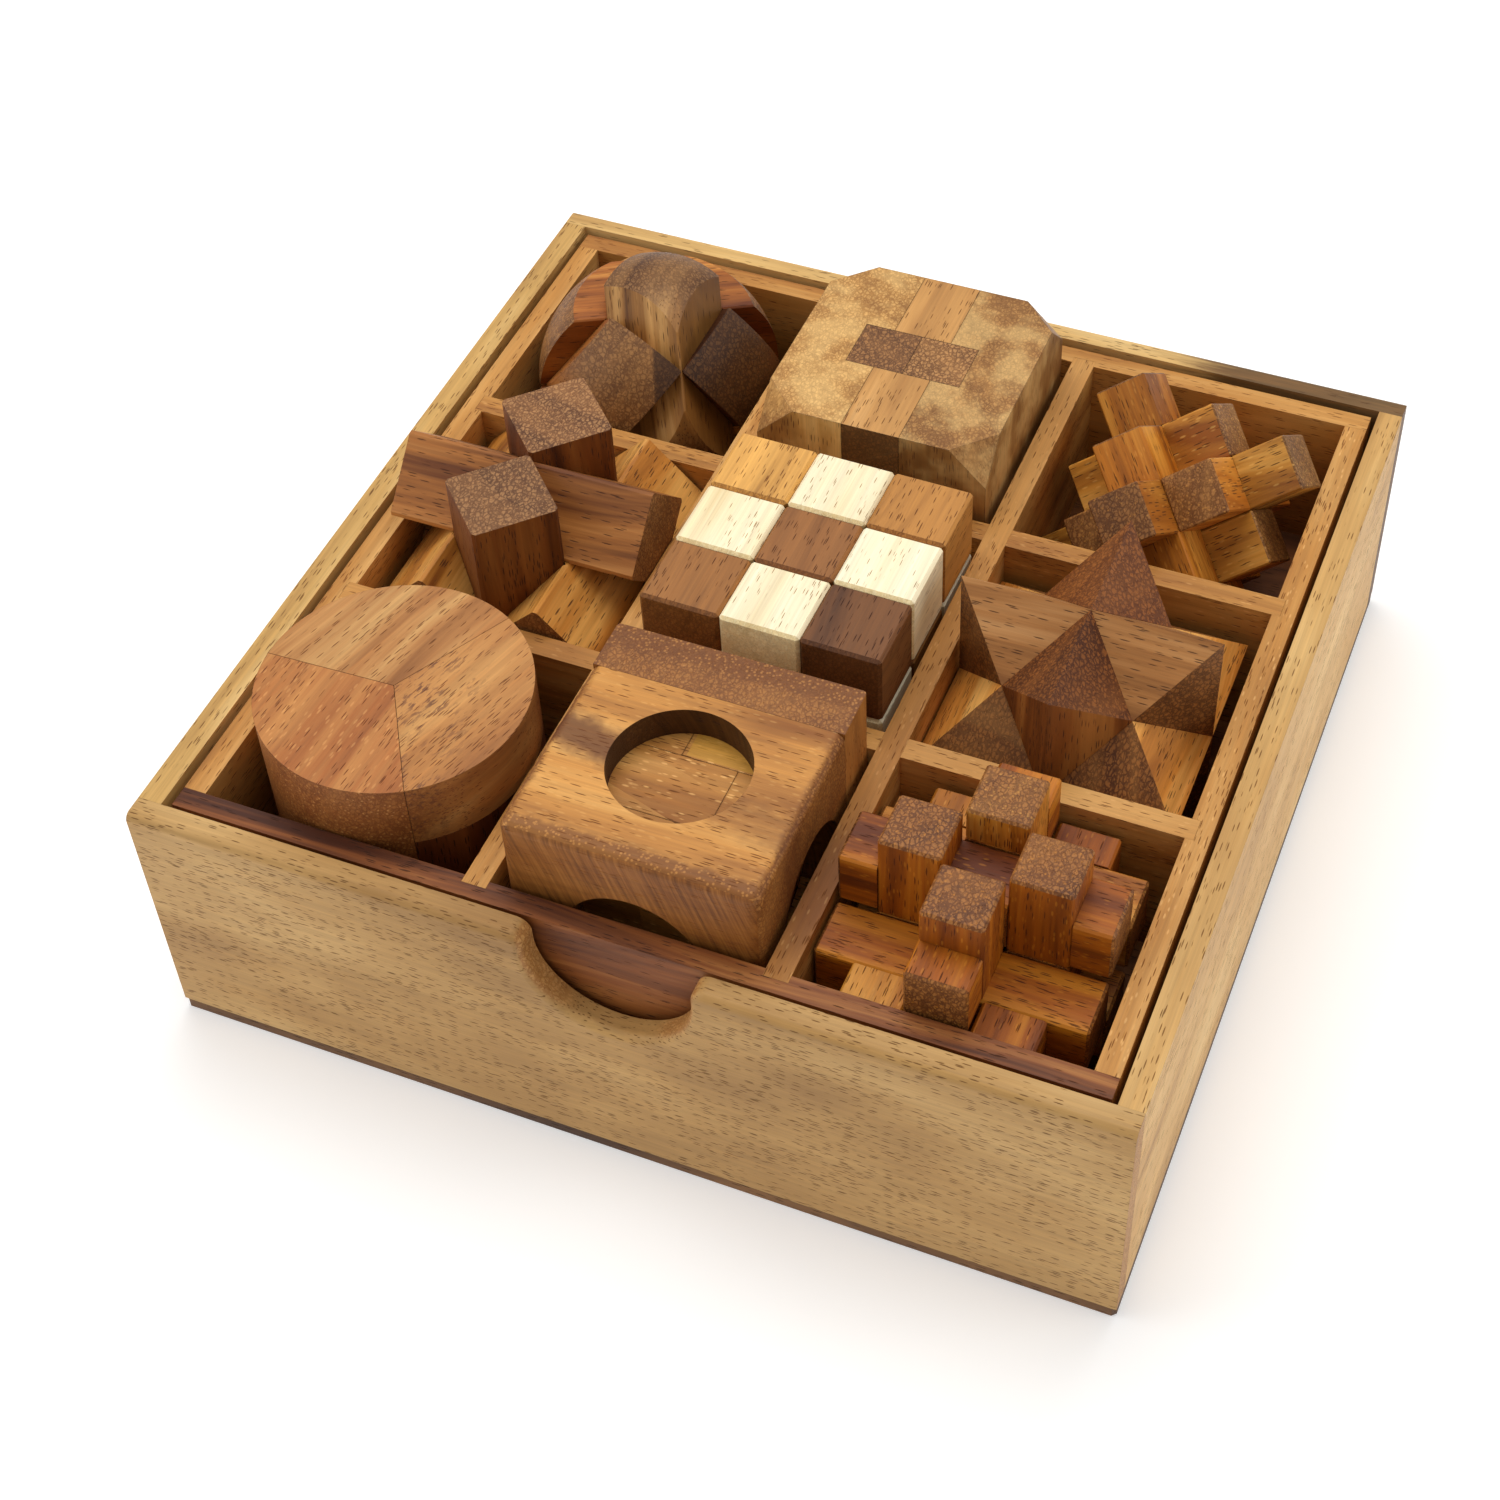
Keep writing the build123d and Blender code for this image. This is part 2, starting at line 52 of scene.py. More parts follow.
# ---------------------------------------------------------------- shader helpers
class Tree:
    """Short names for the nodes that the wood is made of. Lengths are millimetres."""

    def __init__(self, name):
        self.mat = bpy.data.materials.new(name)
        self.mat.use_nodes = True
        self.t = self.mat.node_tree
        self.t.nodes.clear()
        self.out = self.t.nodes.new("ShaderNodeOutputMaterial")
        self.bsdf = self.t.nodes.new("ShaderNodeBsdfPrincipled")
        self.t.links.new(self.bsdf.outputs[0], self.out.inputs[0])
        self.coord = self.t.nodes.new("ShaderNodeTexCoord")
        self.normal = self.coord.outputs["Normal"]
        self.place = self.vec("SCALE", self.coord.outputs["Object"], scale=1000)

    def put(self, socket, value):
        if isinstance(value, bpy.types.NodeSocket):
            self.t.links.new(value, socket)
        elif value is not None:
            socket.default_value = value

    def num(self, op, a, b=None, c=None, clamp=False):
        n = self.t.nodes.new("ShaderNodeMath")
        n.operation = op
        n.use_clamp = clamp
        for socket, value in zip(n.inputs, (a, b, c)):
            self.put(socket, value)
        return n.outputs[0]

    def vec(self, op, a, b=None, scale=None):
        n = self.t.nodes.new("ShaderNodeVectorMath")
        n.operation = op
        self.put(n.inputs[0], a)
        self.put(n.inputs[1], b)
        if scale is not None:
            self.put(n.inputs["Scale"], scale)
        return n.outputs["Value"] if op in ("DOT_PRODUCT", "LENGTH") else n.outputs["Vector"]

    def xyz(self, a, b, c):
        n = self.t.nodes.new("ShaderNodeCombineXYZ")
        for socket, value in zip(n.inputs, (a, b, c)):
            self.put(socket, value)
        return n.outputs[0]

    def noise(self, vector, scale=1.0, detail=2.0, rough=0.5, warp=0.0):
        n = self.t.nodes.new("ShaderNodeTexNoise")
        self.put(n.inputs["Vector"], vector)
        n.inputs["Scale"].default_value = scale
        n.inputs["Detail"].default_value = detail
        n.inputs["Roughness"].default_value = rough
        n.inputs["Distortion"].default_value = warp
        return n.outputs[0]

    def cells(self, vector):
        n = self.t.nodes.new("ShaderNodeTexVoronoi")
        self.put(n.inputs["Vector"], vector)
        n.inputs["Scale"].default_value = 1.0
        return n.outputs["Distance"], n.outputs["Color"]

    def seams(self, vector):
        """Distance from the lines between scattered cells."""
        n = self.t.nodes.new("ShaderNodeTexVoronoi")
        n.feature = "DISTANCE_TO_EDGE"
        self.put(n.inputs["Vector"], vector)
        n.inputs["Scale"].default_value = 1.0
        return n.outputs["Distance"]

    def chance(self, vector):
        n = self.t.nodes.new("ShaderNodeTexWhiteNoise")
        self.put(n.inputs["Vector"], vector)
        return n.outputs["Value"]

    def fade(self, value, a, b, low=0.0, high=1.0):
        """Smooth step from low at a to high at b."""
        n = self.t.nodes.new("ShaderNodeMapRange")
        n.interpolation_type = "SMOOTHSTEP"
        for i, v in enumerate((value, a, b, low, high)):
            self.put(n.inputs[i], v)
        return n.outputs[0]

    def ramp(self, value, stops):
        n = self.t.nodes.new("ShaderNodeValToRGB")
        self.put(n.inputs[0], value)
        row = n.color_ramp.elements
        while len(row) < len(stops):
            row.new(0.5)
        for e, (at, colour) in zip(row, stops):
            e.position = at
            e.color = colour
        return n.outputs[0]

    def blend(self, share, a, b, kind="MIX"):
        n = self.t.nodes.new("ShaderNodeMix")
        n.data_type = "RGBA"
        n.blend_type = kind
        self.put(n.inputs["Factor"], share)
        self.put(n.inputs["A"], a)
        self.put(n.inputs["B"], b)
        return n.outputs["Result"]

    def step(self, value, at):
        return self.num("GREATER_THAN", value, at)

    def dot(self, a, b):
        return self.vec("DOT_PRODUCT", a, tuple(b))

    def times(self, a, b):
        return self.num("MULTIPLY", a, b)

    def stretch(self, along, across, u, v, w):
        """Coordinates multiplied by one factor along the grain and another across it."""
        return self.xyz(self.times(u, along), self.times(v, across), self.times(w, across))

    def divided(self, along, across, u, v, w):
        """Coordinates divided by one length along the grain and another across it."""
        parts = ((u, along), (v, across), (w, across))
        return self.xyz(*(self.num("DIVIDE", value, length) for value, length in parts))


def grain_frame(grain):
    """The grain direction and two directions across it."""
    a = Vector(grain).normalized()
    side = Z.cross(a) if abs(a.z) < 0.8 else Y.cross(a)
    b = side.normalized()
    return a, b, a.cross(b)


# seam: strength of the painted shade along the edges, for the shadow in the gaps between pieces; edge: width
# of that band and of the rounded edges
WARM = dict(
    ring=9.0, pith=(35, -24), wave=6.0, contrast=1.0, pit_size=(3.0, 0.27), pores=0.6,
    pale=0.0, fleck=0.6, edge=0.16, seam=0.0, rough=0.52, gloss=0.32, tint=0.10, bump=0.4)


def wood(name, grain, colours, pore, end, pieces=None, special=None, **changes):
    """Wood with growth bands round a pith, fibres, pores along the grain and flecked end grain.

    colours: dark, middle and light bands. pore: colour of the pores. end: dark and light end grain.
    pieces(tree) gives a vector that differs from piece to piece of one node."""
    s = dict(WARM, **changes)
    t = Tree(name)
    along, side, third = grain_frame(grain)
    u, v, w = t.dot(t.place, along), t.dot(t.place, side), t.dot(t.place, third)
    ends = t.num("ABSOLUTE", t.dot(t.normal, along))
    luck = 0.5
    if pieces:
        which = pieces(t)
        luck = t.chance(which)
        other = t.chance(t.vec("ADD", which, (7.3, 2.1, 5.5)))
        u = t.num("MULTIPLY_ADD", luck, 400.0, u)
        v = t.num("MULTIPLY_ADD", other, 60.0, v)
        w = t.num("MULTIPLY_ADD", luck, -45.0, w)
    seed = sum(ord(ch) * (i + 3) for i, ch in enumerate(name)) % 997
    u = t.num("ADD", u, seed * 1.7)

    # growth bands: a noise read along the distance from a wandering pith
    sway = t.noise(t.stretch(0.012, 0.03, u, v, w), detail=1.0)
    sway = t.num("MULTIPLY_ADD", sway, 2.0 * s["wave"], -s["wave"])
    pith_v = t.num("ADD", t.num("ADD", v, s["pith"][0]), sway)
    pith_w = t.num("ADD", t.num("ADD", w, s["pith"][1]), t.times(sway, 0.6))
    reach = t.vec("LENGTH", t.xyz(pith_v, pith_w, 0.0))
    rings = t.xyz(t.times(reach, 1 / s["ring"]), t.times(u, 0.006), seed * 0.37)
    band = t.noise(rings, detail=4.0, rough=0.62)
    cloud = t.noise(t.stretch(0.018, 0.05, u, v, w), detail=2.0)
    level = t.num("MULTIPLY_ADD", t.num("SUBTRACT", band, 0.5), 1.9 * s["contrast"], 0.5)
    level = t.num("MULTIPLY_ADD", t.num("SUBTRACT", cloud, 0.5), 0.7, level, clamp=True)
    colour = t.ramp(level, [(0.12, lin(colours[0])), (0.5, lin(colours[1])), (0.85, lin(colours[2]))])

    # fibres
    fine = t.noise(t.stretch(0.03, 2.2, u, v, w), detail=3.0, rough=0.65)
    streak = t.noise(t.stretch(0.0125, 0.6, u, v, w), detail=2.0)
    shade = t.num("MULTIPLY_ADD", fine, 0.46, 0.77)
    shade = t.times(shade, t.num("MULTIPLY_ADD", streak, 0.44, 0.78))

    # end grain seen on any face that the grain runs into
    endness = t.fade(ends, 0.35, 0.72)
    across = t.xyz(t.times(u, 0.3), t.times(v, 0.92), t.times(w, 0.72))
    worm = t.noise(across, 0.8, 2.0, warp=1.2)
    lines = t.seams(t.vec("ADD", across, t.xyz(worm, t.times(worm, -0.8), worm)))
    dots = t.cells(t.vec("SCALE", across, scale=1.6))[0]
    net = t.times(t.fade(lines, 0.02, 0.24), t.fade(worm, 0.30, 0.56))
    net = t.num("MAXIMUM", net, t.fade(dots, 0.30, 0.12))
    middle = lin([(p + q) / 2 for p, q in zip(*end)])
    end_colour = t.blend(t.times(net, s["fleck"]), t.blend(level, lin(end[0]), middle), lin(end[1]))
    colour = t.blend(t.times(endness, 0.88), colour, end_colour)

    # pores: long thin pits along the grain, dots across it
    length, width = s["pit_size"]
    gap, hue = t.cells(t.divided(length * 1.5, width * 1.7, u, v, w))
    crowd = t.noise(t.stretch(0.03, 0.11, u, v, w), detail=1.0)
    draw = t.num("ADD", t.dot(hue, (0.5, 0.5, 0.0)), t.num("SUBTRACT", crowd, 0.5))
    keep = t.fade(draw, 0.78 - 0.5 * s["pores"], 0.92 - 0.5 * s["pores"])
    pit = t.times(t.fade(gap, 0.38, 0.22), keep)
    colour = t.blend(t.times(pit, t.num("MULTIPLY_ADD", endness, -0.5, 0.8)), colour, lin(pore))
    if s["pale"]:
        lit, lit_hue = t.cells(t.vec("ADD", t.divided(3.4, 1.0, u, v, w), (3.7, 9.1, 1.3)))
        some = t.fade(t.dot(lit_hue, (0.0, 0.5, 0.5)), 0.42, 0.60)
        spot = t.times(t.fade(lit, 0.34, 0.16), some)
        paler = lin([min(255, p * 1.04 + 14) for p in colours[2]])
        colour = t.blend(t.times(spot, s["pale"]), colour, paler)

    if special:
        colour = special(t, colour, u, v, w)

    # piece to piece difference, fibres, and painted shade along the edges
    if pieces:
        shade = t.times(shade, t.num("MULTIPLY_ADD", luck, 2 * s["tint"], 1 - s["tint"]))
    eased = t.t.nodes.new("ShaderNodeBevel")
    eased.samples = 4
    eased.inputs["Radius"].default_value = s["edge"] / 1000
    true = t.t.nodes.new("ShaderNodeNewGeometry").outputs["True Normal"]
    # painted shade: a band along every edge, standing in for the shadow in the gaps between pieces
    edge_band = t.fade(t.vec("DOT_PRODUCT", eased.outputs[0], true), 0.995, 0.80)
    # patchy painted shade along every edge
    patchy_edge_shade = t.times(edge_band, t.fade(t.noise(t.place, 0.12, 3.0), 0.35, 0.65))
    shade = t.times(shade, t.num("MULTIPLY_ADD", patchy_edge_shade, -0.26, 1.04))
    # seam adds a stronger dark line of painted shade along the edges, for the shadow in the gaps
    if s["seam"]:
        shade = t.times(shade, t.num("MULTIPLY_ADD", edge_band, -s["seam"], 1.0))
    colour = t.blend(1.0, colour, t.xyz(shade, shade, shade), "MULTIPLY")

    rough = t.num("MULTIPLY_ADD", fine, 0.16, s["rough"] - 0.08)
    rough = t.num("MULTIPLY_ADD", pit, 0.25, rough, clamp=True)
    height = t.num("MULTIPLY_ADD", pit, -1.0, t.times(fine, 0.35))
    height = t.num("MULTIPLY_ADD", t.times(net, endness), 0.4, height)
    bump = t.t.nodes.new("ShaderNodeBump")
    bump.inputs["Strength"].default_value = s["bump"]
    bump.inputs["Distance"].default_value = 0.00015
    t.put(bump.inputs["Height"], height)
    t.put(bump.inputs["Normal"], eased.outputs[0])
    t.put(t.bsdf.inputs["Base Color"], colour)
    t.put(t.bsdf.inputs["Roughness"], rough)
    t.put(t.bsdf.inputs["Normal"], bump.outputs[0])
    t.bsdf.inputs["Specular IOR Level"].default_value = s["gloss"]
    return t.mat


def dress(node, material):
    """Gives a CAD node its material."""
    slots = nodes[node].data.materials
    slots.clear()
    slots.append(material)


def timber(node, name, grain, colours, pore, end, **changes):
    """Gives a CAD node a wood of its own; the name also seeds its figure."""
    dress(node, wood(name + "_wood", grain, colours, pore, end, **changes))


def sides(direction, count=2, pitch=0.0, centre=(0, 0, 0)):
    """Tells pieces of one node apart by which side of their middle they lie on."""
    def number(t):
        away = t.dot(t.vec("SUBTRACT", t.place, tuple(centre)), direction)
        if count == 2:
            n = t.step(away, 0.0)
        else:
            n = t.num("ROUND", t.num("DIVIDE", away, pitch))
        return t.xyz(n, 1.3, 4.7)
    return number


# ---------------------------------------------------------------- box and insert
TAN = [(168, 130, 86), (204, 168, 116), (226, 194, 144)]
TAN_END = [(150, 104, 64), (206, 164, 116)]
HONEY = [(150, 100, 56), (196, 146, 90), (220, 176, 122)]
ORANGE = [(114, 60, 12), (168, 100, 24), (202, 136, 50)]
AMBER = [(136, 78, 20), (192, 130, 54), (220, 166, 92)]
BROWN = [(96, 54, 32), (146, 94, 58), (178, 126, 84)]


def burnt_end(t, colour, u, v, w):
    """Dark heartwood at the right end of the back wall, with a ragged edge."""
    along = t.dot(t.place, X)
    ragged = t.noise(t.stretch(0.05, 0.5, along, v, w), 1.0, 4.0, 0.6)
    reach = t.num("MULTIPLY_ADD", ragged, 40.0, t.num("ADD", along, -20.0))
    dark = t.fade(reach, 54.0, 76.0, 0.0, 0.86)
    return t.blend(dark, colour, t.ramp(ragged, [(0.3, lin((52, 32, 24))), (0.7, lin((112, 78, 52)))]))


timber("front_wall", "front_wall", X, [(146, 112, 76), (186, 151, 107), (208, 175, 131)], (104, 72, 42),
       TAN_END, pores=0.75, pit_size=(2.4, 0.27), contrast=0.75, ring=14)
timber("back_wall", "back_wall", X, [(176, 138, 94), (214, 180, 130), (232, 204, 158)], (110, 78, 46),
       TAN_END, pores=0.5, special=burnt_end, contrast=0.6)
timber("left_wall", "left_wall", Y, TAN, (110, 74, 40), TAN_END, pores=0.65, contrast=0.7)
timber("right_wall", "right_wall", Y, [(176, 136, 90), (208, 170, 120), (226, 194, 146)], (120, 84, 50),
       TAN_END, pores=0.55, contrast=0.8)
timber("base_panel", "base", X, [(70, 46, 30), (104, 74, 48), (140, 104, 70)], (50, 32, 20),
       [(60, 40, 28), (120, 88, 60)])

rail_pore = (124, 78, 38)
rail_look = dict(pores=0.6, contrast=0.8, ring=8)
timber("insert_left_rail", "left_rail", Y, HONEY, rail_pore, TAN_END, **rail_look)
timber("insert_right_rail", "right_rail", Y, HONEY, rail_pore, TAN_END, pale=0.5, **rail_look)
timber("insert_back_rail", "back_rail", X, HONEY, rail_pore, TAN_END, **rail_look)
timber("insert_front_rail", "front_rail", X, [(84, 46, 28), (140, 88, 54), (184, 132, 86)], (60, 34, 20),
       TAN_END, contrast=1.2, ring=4)
timber("insert_floor", "floor", X, [(84, 50, 28), (122, 78, 46), (150, 104, 66)], (60, 34, 20), TAN_END)
for name, grain in (("left", Y), ("right", Y), ("front", X), ("back", X)):
    timber("divider_" + name, "divider_" + name, grain, HONEY, (110, 66, 32), TAN_END,
           pale=0.25, **rail_look)

# ---------------------------------------------------------------- stick burrs
AXES = {"x": X, "y": Y, "z": Z}

# twelve-stick burr: orange brown lengths, grey brown flecked ends
burr_sticks = ("x_low", "x_high", "x_front", "x_back", "y_low", "y_high", "y_left", "y_right",
               "z_front", "z_back", "z_left", "z_right")
for i, name in enumerate(burr_sticks):
    timber("burr_" + name, "burr_" + name, AXES[name[0]], ORANGE if i % 3 else AMBER, (74, 38, 18),
           [(84, 50, 30), (184, 132, 84)], contrast=1.2, ring=5, pith=(18 + 3 * i, -12), pores=0.7,
           pale=0.3, fleck=0.7)

# ball burr, turned on its corner
a, b, c = (radians(v) for v in (-37.0, -18.0, 31.5))
ball_turn = Matrix.Rotation(a, 3, "X") @ Matrix.Rotation(b, 3, "Y") @ Matrix.Rotation(c, 3, "Z")
ball_centre = (-73.3, 73.5, 62.9)
ball_looks = {
    "x": ([(110, 60, 26), (166, 106, 54), (202, 146, 86)], [(82, 54, 36), (178, 136, 94)]),
    "y": ([(92, 50, 22), (146, 90, 46), (182, 126, 76)], [(90, 60, 40), (184, 142, 100)]),
    "z": ([(112, 76, 42), (168, 124, 76), (204, 162, 112)], [(84, 54, 38), (176, 136, 100)]),
}


def darker_wood_and_shade(t, colour, u, v, w):
    """The right one of the two crossing sticks is much darker than the left one: partly darker wood, partly
    painted shade on its side turned away from the light.
    """
    across = t.dot(t.vec("SUBTRACT", t.place, ball_centre), (0.918, 0.397, 0))
    # darker wood with painted shade: the right stick multiplied down to about a third
    darker = t.blend(1.0, colour, (0.34, 0.30, 0.28, 1), "MULTIPLY")
    return t.blend(t.fade(across, -0.5, 0.5), colour, darker)


for i, axis in enumerate("xyz"):
    grain = ball_turn @ (X, Y, Z)[i]
    across = ball_turn @ (Z, X, Y)[i]
    tones, end = ball_looks[axis]
    # the y sticks get darker wood and painted shade on their right stick
    timber(f"ball_{axis}_sticks", f"ball_{axis}", grain, tones, (64, 36, 20), end,
           pieces=sides(across, centre=ball_centre), special=darker_wood_and_shade if axis == "y" else None,
           contrast=1.3, ring=5, tint=0.16)

blunt_looks = {
    "x": ([(112, 68, 38), (164, 112, 68), (192, 140, 92)], [(92, 58, 38), (176, 132, 94)]),
    "y": ([(136, 84, 36), (196, 138, 74), (224, 176, 112)], [(96, 62, 40), (180, 134, 94)]),
    "z": ([(80, 42, 18), (124, 74, 36), (152, 100, 56)], [(92, 60, 42), (188, 146, 110)]),
}
star_looks = {
    "x": ([(120, 78, 46), (168, 122, 82), (192, 148, 108)], [(60, 34, 18), (158, 110, 70)]),
    "y": ([(150, 94, 42), (208, 146, 80), (236, 184, 118)], [(68, 38, 20), (164, 114, 72)]),
    "z": ([(94, 52, 26), (144, 90, 48), (174, 120, 72)], [(70, 36, 18), (158, 104, 62)]),
}
upright_burrs = (("blunt", blunt_looks, (-73.3, 0, 63.2)), ("star", star_looks, (70.9, 0, 61.8)))
for kind, looks, centre in upright_burrs:
    for i, axis in enumerate("xyz"):
        tones, end = looks[axis]
        timber(f"{kind}_{axis}_sticks", f"{kind}_{axis}", AXES[axis], tones, (64, 34, 18), end,
               pieces=sides((Z, X, Y)[i], centre=centre), contrast=1.1, ring=6, fleck=0.75)


# ---------------------------------------------------------------- cube with cut corners
def mottled(t, colour, u, v, w):
    """Golden and brown clouds over the wood."""
    patch = t.noise(t.place, 0.075, 3.0, 0.55)
    colour = t.blend(t.fade(patch, 0.42, 0.62, 0.0, 0.32), colour, lin((250, 216, 160)))
    return t.blend(t.fade(patch, 0.46, 0.30, 0.0, 0.45), colour, lin((120, 80, 48)))


# painted shade along the seams of the cube pieces: a strong dark line at every edge, over a wider band
seam_shade = dict(seam=0.6, edge=0.35)
cube_looks = {
    "left": ([(146, 104, 62), (206, 162, 106), (238, 200, 142)], [(146, 104, 62), (234, 190, 134)]),
    "right": ([(112, 80, 50), (162, 122, 80), (196, 154, 106)], [(118, 82, 50), (206, 160, 110)]),
}
for side, (tones, end) in cube_looks.items():
    timber("cube_" + side, "cube_" + side, Z, tones, (92, 60, 34), end, ring=12, wave=10, fleck=0.6,
           special=mottled, **seam_shade)
for side in ("front", "back"):
    timber("cube_" + side, "cube_" + side, Y, [(148, 104, 66), (204, 158, 108), (232, 192, 146)],
           (104, 68, 38), [(60, 36, 20), (124, 84, 52)], fleck=0.7, **seam_shade)
key_ends = {"left": [(74, 48, 32), (170, 128, 92)], "right": [(100, 68, 44), (196, 152, 110)]}
for side, end in key_ends.items():
    timber("cube_key_" + side, "cube_key_" + side, Z, BROWN, (70, 42, 26), end, fleck=0.9, **seam_shade)

# ---------------------------------------------------------------- stepped burr, stood on its corner
STEP_STICK = 14.4
upright = Matrix.Rotation(-atan(sqrt(2)), 3, "Y") @ Matrix.Rotation(radians(-45), 3, "Z")
turn = Matrix.Rotation(radians(74.5), 3, "Z") @ upright
step_looks = {
    "x": [(144, 90, 34), (200, 146, 74), (232, 184, 112)],
    "y": [(128, 76, 24), (182, 120, 46), (214, 156, 80)],
    "z": [(122, 68, 26), (178, 114, 48), (212, 154, 82)],
}
step_centre = (73.0, 72.8, 30.9 + 3.5 / sqrt(3) * STEP_STICK)
for i, axis in enumerate("xyz"):
    grain = turn @ (X, Y, Z)[i]
    across = turn @ (Y, Z, X)[i]
    timber(f"stepped_{axis}_sticks", f"stepped_{axis}", grain, step_looks[axis], (66, 36, 18),
           [(84, 54, 36), (172, 128, 88)], pieces=sides(across, 3, STEP_STICK, step_centre),
           contrast=1.2, ring=5, pale=0.3, fleck=0.75, tint=0.14)

# ---------------------------------------------------------------- snake cube
CUBELET = 20.5
SNAKE_X, SNAKE_YAW, CELL_FLOOR = 0.5, radians(-0.9), 30.0


def cubelets(t):
    """The grid place of each cubelet, whole numbers from -1 to 1, so that each has its own tone."""
    place = t.vec("SUBTRACT", t.place, (SNAKE_X, 0, 0))
    gx = t.num("DIVIDE", t.dot(place, (cos(SNAKE_YAW), sin(SNAKE_YAW), 0)), CUBELET)
    gy = t.num("DIVIDE", t.dot(place, (-sin(SNAKE_YAW), cos(SNAKE_YAW), 0)), CUBELET)
    gz = t.num("DIVIDE", t.num("SUBTRACT", t.dot(t.place, Z), CELL_FLOOR + 1.5 * CUBELET), CUBELET)
    return t.xyz(t.num("ROUND", gx), t.num("ROUND", gy), t.num("ROUND", gz))


def brown_cubelets(t, colour, u, v, w):
    """Each brown cubelet has its own tone, from honey at the back left to red brown at the front."""
    cell = cubelets(t)
    tone = t.dot(cell, (0.2, -0.28, 0.1))
    tone = t.num("MULTIPLY_ADD", t.chance(t.vec("ADD", cell, (3, 1, 4))), 0.08, tone)
    tint = t.ramp(t.num("ADD", tone, 0.31, clamp=True), [
        (0.0, lin((232, 182, 116))), (0.33, lin((206, 152, 94))), (0.46, lin((164, 116, 78))),
        (0.55, lin((180, 130, 82))), (1.0, lin((110, 72, 54)))])
    return t.blend(1.0, colour, tint, "MULTIPLY")


timber("snake_light_cubelets", "snake_light", Y, [(226, 202, 160), (246, 232, 204), (253, 244, 222)],
       (150, 110, 62), [(222, 196, 150), (246, 232, 196)], pieces=cubelets, contrast=0.6, pores=0.3,
       tint=0.03, pit_size=(2.6, 0.22), edge=0.14, seam=0.35)
timber("snake_dark_cubelets", "snake_dark", Y, [(184, 176, 168), (238, 236, 232), (255, 252, 248)],
       (112, 78, 56), [(150, 136, 124), (232, 226, 216)], pieces=cubelets, special=brown_cubelets,
       contrast=1.0, ring=5, pores=0.6, pale=0.2, tint=0.05, seam=0.45, edge=0.16)


def elastic():
    """Knitted grey cord."""
    t = Tree("elastic_cord")
    knit = t.noise(t.place, 2.2, 3.0)
    greys = t.ramp(knit, [(0.3, lin((30, 28, 26))), (0.7, lin((66, 62, 58)))])
    t.put(t.bsdf.inputs["Base Color"], greys)
    bump = t.t.nodes.new("ShaderNodeBump")
    bump.inputs["Distance"].default_value = 0.0001
    t.put(bump.inputs["Height"], knit)
    t.put(t.bsdf.inputs["Normal"], bump.outputs[0])
    t.bsdf.inputs["Roughness"].default_value = 0.8
    return t.mat


dress("snake_cord", elastic())

# ---------------------------------------------------------------- cylinder
lean = Vector((0.27, 0.96, 0))
seam_way = Vector((1, 0.25, 0)).normalized()


def violet_streaks(t, colour, u, v, w):
    """Dull violet streaks that crowd towards the seam with the wedge."""
    spot = t.noise(t.divided(3.2, 0.8, u, v, w), 1.0, 3.0, 0.6)
    across = t.dot(t.place, seam_way)
    near = t.times(t.fade(across, -62.0, -80.0), t.fade(across, -92.0, -84.0))
    patchy = t.fade(t.noise(t.place, 0.11, 2.0), 0.36, 0.56)
    mark = t.fade(spot, 0.52, 0.60)
    return t.blend(t.times(t.times(mark, near), t.times(patchy, 0.8)), colour, lin((104, 66, 60)))


cyl_end = [(110, 62, 34), (176, 122, 76)]
timber("cylinder_wedge", "cylinder_wedge", Vector((0.08, 1, 0)),
       [(144, 84, 50), (174, 114, 72), (198, 146, 98)], (104, 56, 32), cyl_end,
       contrast=0.9, ring=8, pale=0.45, seam=0.35)
timber("cylinder_back", "cylinder_back", lean, [(134, 88, 54), (178, 128, 86), (206, 164, 118)],
       (110, 68, 38), cyl_end, contrast=1.1, ring=7, seam=0.35)
timber("cylinder_cap", "cylinder_cap", lean, [(146, 94, 60), (186, 134, 88), (210, 164, 114)],
       (112, 66, 44), cyl_end, special=violet_streaks, contrast=0.7, seam=0.35)
# the base's dark tones are partly its darker wood and partly painted shade from under the ledge of the
# pieces above
timber("cylinder_base", "cylinder_base", Z, [(70, 36, 20), (110, 62, 34), (140, 88, 52)],
       (40, 22, 12), cyl_end)

# ---------------------------------------------------------------- box with round windows
WINDOW_Y, WINDOW_REACH, WINDOW_LOW = 75.7, 17.6, 78.0


